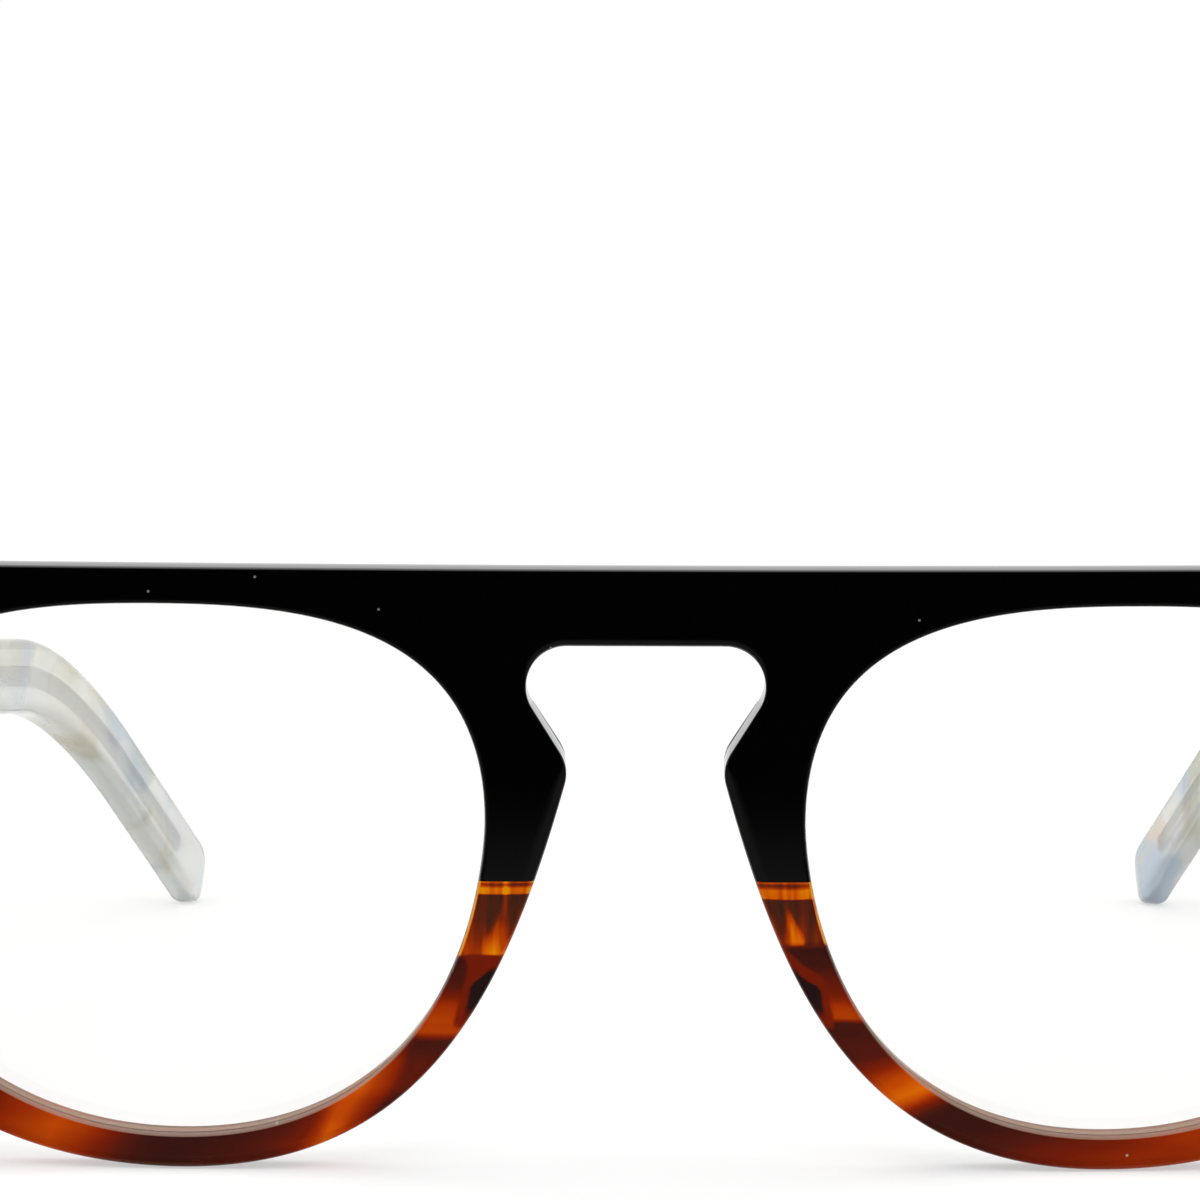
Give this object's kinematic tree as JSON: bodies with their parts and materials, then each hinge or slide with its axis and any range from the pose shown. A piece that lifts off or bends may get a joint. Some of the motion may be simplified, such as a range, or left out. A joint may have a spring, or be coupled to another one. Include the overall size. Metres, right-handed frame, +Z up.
{
  "type": "eyeglasses",
  "caption": "Thick acetate eyeglasses: straight black brow with a keyhole bridge over tortoise lower rims, clear lenses, built-up nose pads and temples that fold on pinned hinges.",
  "frame": {"origin": "on the table that the glasses stand on, midway between the two temples and midway between the foremost edge of the brow and the temple tips", "axes": "+X to the viewer's right as seen from the front, +Y back along the temples, +Z up"},
  "size_m": [0.14, 0.1462, 0.0446],
  "materials": {
    "black_acetate": "polished",
    "tortoise_acetate": "polished",
    "temple_acetate": "polished, translucent",
    "clear_lens": "clear",
    "hinge_metal": "satin",
    "core_metal": "drawn wire"
  },
  "bodies": {
    "front": {"front_upper": "black_acetate", "lower_rim_left": "tortoise_acetate", "lower_rim_right": "tortoise_acetate", "lens_left": "clear_lens", "lens_right": "clear_lens", "nose_pad_left": "black_acetate", "nose_pad_right": "black_acetate", "front_hinge_left": "hinge_metal", "front_hinge_right": "hinge_metal", "front_rivets_left": "hinge_metal", "front_rivets_right": "hinge_metal", "hinge_screw_left": "hinge_metal", "hinge_screw_right": "hinge_metal"},
    "temple_left_body": {"temple_left": "temple_acetate", "temple_core_left": "core_metal", "temple_hinge_left": "hinge_metal", "temple_rivets_left": "hinge_metal"},
    "temple_right_body": {"temple_right": "temple_acetate", "temple_core_right": "core_metal", "temple_hinge_right": "hinge_metal", "temple_rivets_right": "hinge_metal"}
  },
  "joints": [
    {"name": "temple_fold_left", "type": "hinge", "parent": "front", "child": "temple_left_body", "pos_m": [-0.06376, -0.06369, 0.0352], "axis": [0, 0, -1], "range_deg": [-3.3, 81.7]},
    {"name": "temple_fold_right", "type": "hinge", "parent": "front", "child": "temple_right_body", "pos_m": [0.06376, -0.06369, 0.0352], "axis": [0, 0, 1], "range_deg": [0, 76]}
  ]
}
